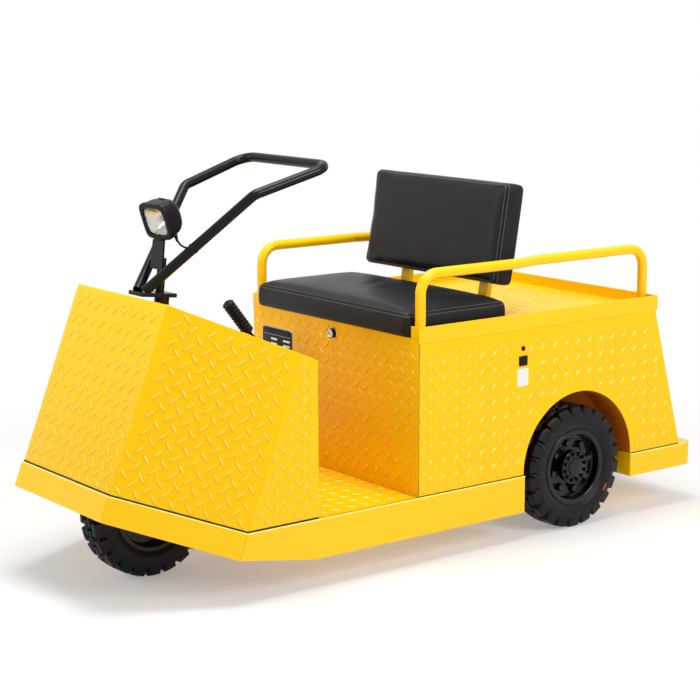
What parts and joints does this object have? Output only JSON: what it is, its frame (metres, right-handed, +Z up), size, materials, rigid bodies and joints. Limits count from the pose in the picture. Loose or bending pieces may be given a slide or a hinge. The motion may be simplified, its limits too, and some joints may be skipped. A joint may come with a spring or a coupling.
{
  "type": "electric tow tractor",
  "caption": "Three-wheeled electric tow tractor with a chequer plate nose and battery tub, tiller steering, bench seat, handrails and a rear tow hitch.",
  "frame": {"origin": "middle of the machine's footprint, on the floor", "axes": "+Z up, +Y along the machine towards its rear, +X towards the machine's left side"},
  "size_m": [0.872, 2.268, 1.2139],
  "materials": {
    "plate_yellow": "gloss",
    "paint_yellow": "gloss",
    "paint_black": "satin",
    "rim_black": "gloss",
    "leather_black": "satin",
    "plastic_black": "matte",
    "rubber_black": "matte",
    "chrome": "polished",
    "steel": "satin",
    "lens": "clear",
    "tyre": "matte"
  },
  "bodies": {
    "chassis": {"nose_front": "plate_yellow", "nose_chamfers": "plate_yellow", "nose_sides": "plate_yellow", "nose_bulkhead": "plate_yellow", "nose_top": "plate_yellow", "tub_front": "plate_yellow", "tub_sides": "plate_yellow", "tub_rear": "plate_yellow", "deck_plate": "plate_yellow", "floor_plate": "plate_yellow", "skirt_front": "paint_yellow", "skirt_chamfers": "paint_yellow", "skirt_sides": "paint_yellow", "skirt_rear": "paint_yellow", "frame_rails": "paint_yellow", "steering_head": "paint_yellow", "wheel_houses": "paint_yellow", "deck_rim": "paint_yellow", "handrail_left": "paint_yellow", "handrail_right": "paint_yellow", "back_brackets": "paint_yellow", "brake_lever": "paint_black", "drive_axle": "paint_black", "drive_motor": "paint_black", "tow_hitch": "paint_black", "seat_cushion": "leather_black", "seat_back": "leather_black", "charge_socket": "plastic_black", "battery_box": "plastic_black", "brake_grip": "rubber_black", "foot_pedals": "rubber_black", "key_lock": "chrome"},
    "steering": {"fork": "paint_black", "front_axle": "steel", "tiller_head": "paint_black", "tiller": "paint_black", "lamp_post": "paint_black", "lamp_bracket": "paint_black", "lamp_housing": "plastic_black", "lamp_lens": "lens", "lamp_lead": "rubber_black"},
    "front_wheel": {"front_tyre": "tyre", "front_rim": "rim_black"},
    "rear_wheel_left": {"rear_tyre_left": "tyre", "rear_rim_left": "rim_black"},
    "rear_wheel_right": {"rear_tyre_right": "tyre", "rear_rim_right": "rim_black"}
  },
  "joints": [
    {"name": "steer", "type": "hinge", "parent": "chassis", "child": "steering", "pos_m": [0, -0.83596, 0.2], "axis": [0, 0.1132, 0.9936], "range_deg": [-45, 45]},
    {"name": "front_wheel_spin", "type": "hinge", "parent": "steering", "child": "front_wheel", "pos_m": [0, -0.83596, 0.2], "axis": [1, 0, 0], "continuous": true},
    {"name": "rear_left_spin", "type": "hinge", "parent": "chassis", "child": "rear_wheel_left", "pos_m": [0.3815, 0.51104, 0.2], "axis": [1, 0, 0], "continuous": true},
    {"name": "rear_right_spin", "type": "hinge", "parent": "chassis", "child": "rear_wheel_right", "pos_m": [-0.3815, 0.51104, 0.2], "axis": [1, 0, 0], "continuous": true}
  ]
}
